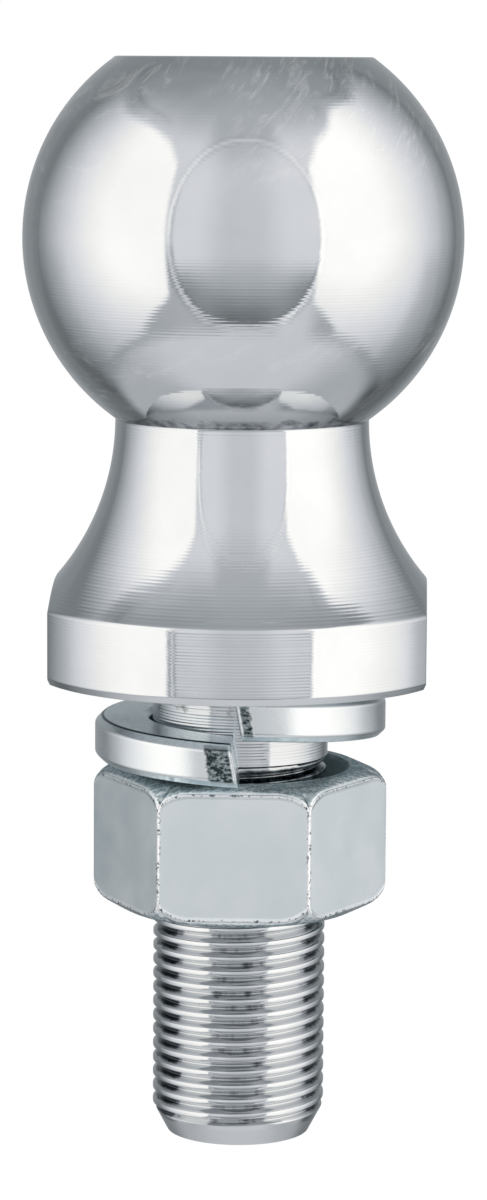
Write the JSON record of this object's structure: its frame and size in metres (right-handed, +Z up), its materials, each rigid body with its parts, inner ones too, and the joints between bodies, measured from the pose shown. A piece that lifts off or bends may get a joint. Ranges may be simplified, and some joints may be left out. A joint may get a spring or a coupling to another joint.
{
  "type": "trailer hitch ball",
  "caption": "Chrome trailer hitch ball on a flared neck and flatted collar, with a threaded shank, split lock washer and hex nut.",
  "frame": {"origin": "centre of the collar's underside, on the shank's axis", "axes": "+Z up along the axis towards the ball, +X and -X square to the collar's wrench flats, -Y square to one face of the nut"},
  "size_m": [0.0476, 0.0476, 0.1178],
  "materials": {
    "chrome": "bright chrome plate with faint turning lines",
    "washer_zinc": "satin zinc plate on spring steel",
    "nut_zinc": "satin zinc plate, bright where the edges are worn"
  },
  "bodies": {
    "ball_stud": {"ball_stud": "chrome"},
    "lock_washer": {"lock_washer": "washer_zinc"},
    "hex_nut": {"hex_nut": "nut_zinc"}
  },
  "joints": [
    {"name": "washer_slide", "type": "slide", "parent": "ball_stud", "child": "lock_washer", "axis": [0, 0, -1], "range_m": [0, 0.052]},
    {"name": "nut_turn", "type": "hinge", "parent": "lock_washer", "child": "hex_nut", "pos_m": [0, 0, -0.01785], "axis": [0, 0, -1], "range_deg": [0, 11800]}
  ],
  "couplings": [
    {"joint": "nut_turn", "follows": "washer_slide", "rad_per_m": 3957.9}
  ]
}
